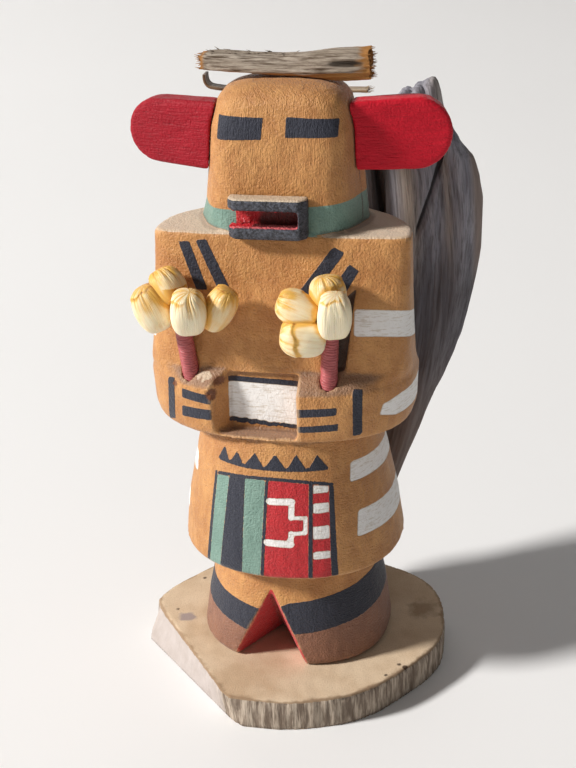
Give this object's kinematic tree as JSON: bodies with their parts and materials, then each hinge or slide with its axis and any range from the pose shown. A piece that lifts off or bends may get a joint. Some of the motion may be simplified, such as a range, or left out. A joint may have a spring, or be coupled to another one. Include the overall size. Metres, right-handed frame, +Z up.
{
  "type": "carved kachina doll",
  "caption": "Carved and painted kachina doll with board ears, a slotted snout and thread-wound bud stems in its hands, on a root-wood slab with driftwood behind.",
  "frame": {"origin": "middle of the patch of the slab's underside that lies under the figure, on the plane it rests on", "axes": "+Z up, the figure faces -Y, its left hand is towards +X"},
  "size_m": [0.1201, 0.1093, 0.2262],
  "materials": {
    "root_wood": "bare, sawn and weathered",
    "painted_wood": "matt brushed paint in ochre with dark blue, red, teal, white and brown marks",
    "snout_paint": "matt dark paint, red inside, bare on top",
    "ear_paint": "ridged satin red paint, worn at the edges",
    "stem_thread": "wound thread",
    "husk_bud": "smooth satin husk with fine creases",
    "splint_wood": "weathered, broken ends",
    "husk_strip": "dry and dull",
    "driftwood": "weathered grey with lengthwise grooves"
  },
  "bodies": {
    "root": {"base_slab": "root_wood", "figure": "painted_wood", "snout": "snout_paint", "right_ear": "ear_paint", "left_ear": "ear_paint", "right_stem": "stem_thread", "left_stem": "stem_thread", "right_bud_1": "husk_bud", "right_bud_2": "husk_bud", "right_bud_3": "husk_bud", "right_bud_4": "husk_bud", "left_bud_1": "husk_bud", "left_bud_2": "husk_bud", "left_bud_3": "husk_bud", "left_bud_4": "husk_bud", "head_splint": "splint_wood", "husk_strip": "husk_strip", "driftwood_back": "driftwood"}
  },
  "joints": []
}
